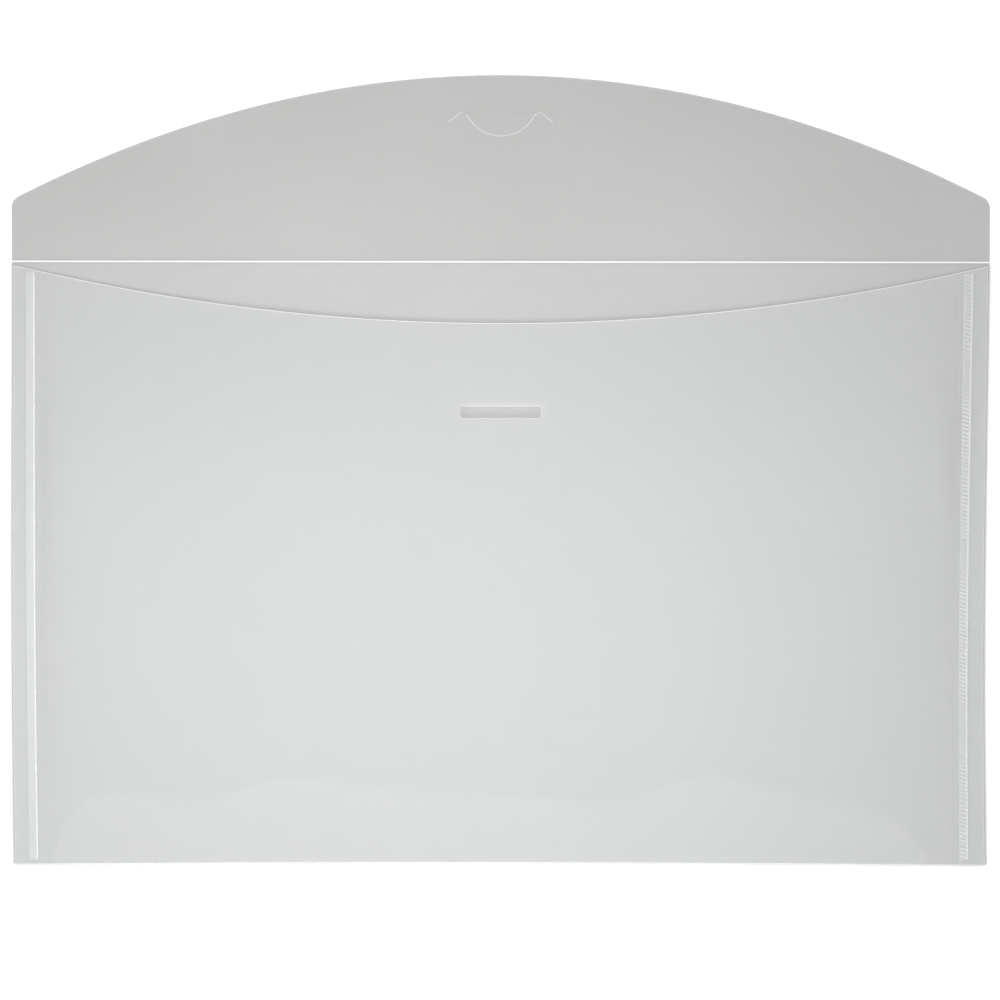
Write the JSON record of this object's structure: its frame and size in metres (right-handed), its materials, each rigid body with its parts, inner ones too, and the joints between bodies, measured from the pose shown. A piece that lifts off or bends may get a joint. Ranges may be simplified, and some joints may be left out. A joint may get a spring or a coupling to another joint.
{
  "type": "portfolio case",
  "caption": "Flat translucent film portfolio case with welded side seams, a curved mouth and an arched flap that tucks its tongue into a slot.",
  "frame": {"origin": "middle of the open case, on the surface that it lies on", "axes": "+X across the case, +Y from the bottom fold towards the flap, +Z out of the front panel; the case lies on its back with the flap open flat"},
  "size_m": [0.464, 0.375, 0.0112],
  "materials": {
    "back_film": "translucent polypropylene film",
    "front_film": "translucent polypropylene film",
    "folded_film": "folded polypropylene film",
    "weld": "knurled ultrasonic weld",
    "pressed_crease": "stress-whitened crease",
    "flap_film": "translucent polypropylene film"
  },
  "bodies": {
    "pocket": {"back_panel": "back_film", "front_panel": "front_film", "bottom_fold": "folded_film", "left_side_fold": "folded_film", "right_side_fold": "folded_film", "left_side_tab": "folded_film", "right_side_tab": "folded_film", "left_weld_seam": "weld", "right_weld_seam": "weld", "flap_crease": "pressed_crease"},
    "flap": {"flap_panel": "flap_film"},
    "tongue": {"closure_tongue": "flap_film"}
  },
  "joints": [
    {"name": "flap_fold", "type": "hinge", "parent": "pocket", "child": "flap", "pos_m": [0, 0.0995, 0.0017], "axis": [1, 0, 0], "range_deg": [0, 175.2], "deforming": ["flap_crease"]},
    {"name": "tongue_tuck", "type": "hinge", "parent": "flap", "child": "tongue", "pos_m": [0, 0.16995, 0.0004], "axis": [-1, 0, 0], "range_deg": [0, 40], "stiffness_Nm_per_rad": 0.005}
  ]
}
